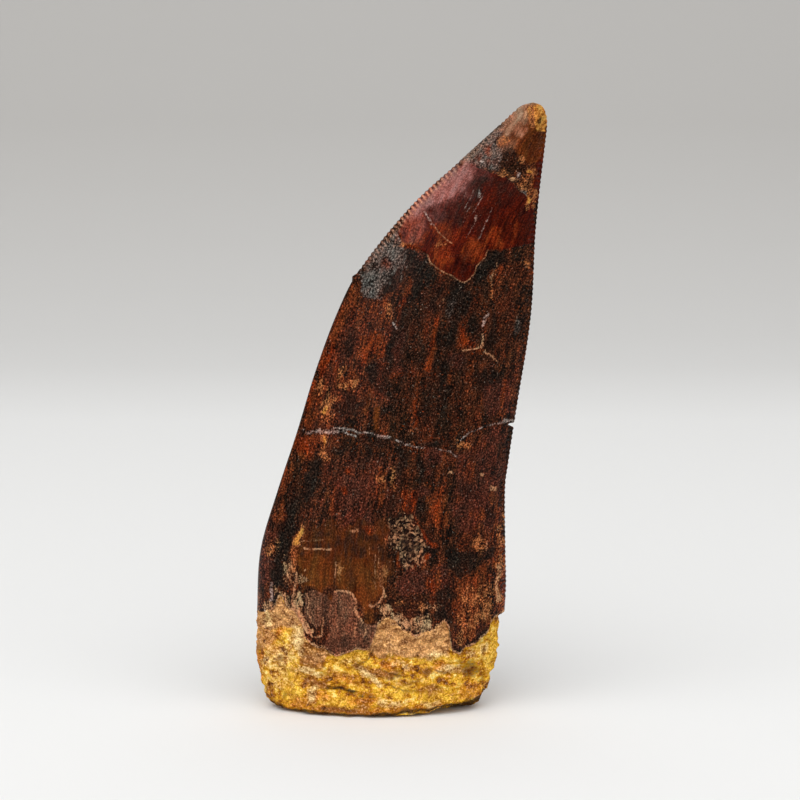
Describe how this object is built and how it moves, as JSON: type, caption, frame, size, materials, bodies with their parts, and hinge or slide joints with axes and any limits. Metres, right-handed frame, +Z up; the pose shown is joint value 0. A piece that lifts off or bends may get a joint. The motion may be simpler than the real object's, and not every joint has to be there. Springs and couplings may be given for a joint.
{
  "type": "fossil carcharodontosaurus tooth",
  "caption": "Flattened, gently curved fossil tooth crown with serrated edges, broken enamel lip and a sandy root end worn flat, so that it stands upright.",
  "frame": {"origin": "centre of the bounding box's base, on the surface that the worn root end stands on", "axes": "+Z up from the root to the tip; +X towards the trailing, nearly straight edge; -Y out of the broad face that the picture shows"},
  "size_m": [0.0366, 0.0125, 0.0763],
  "materials": {
    "fossil_enamel": "glossy dark brown and mahogany mineralised enamel with black mottling",
    "sandstone_matrix": "rough yellow-ochre sandstone matrix caked on the root"
  },
  "bodies": {
    "root": {"tooth": "fossil_enamel"}
  },
  "joints": []
}
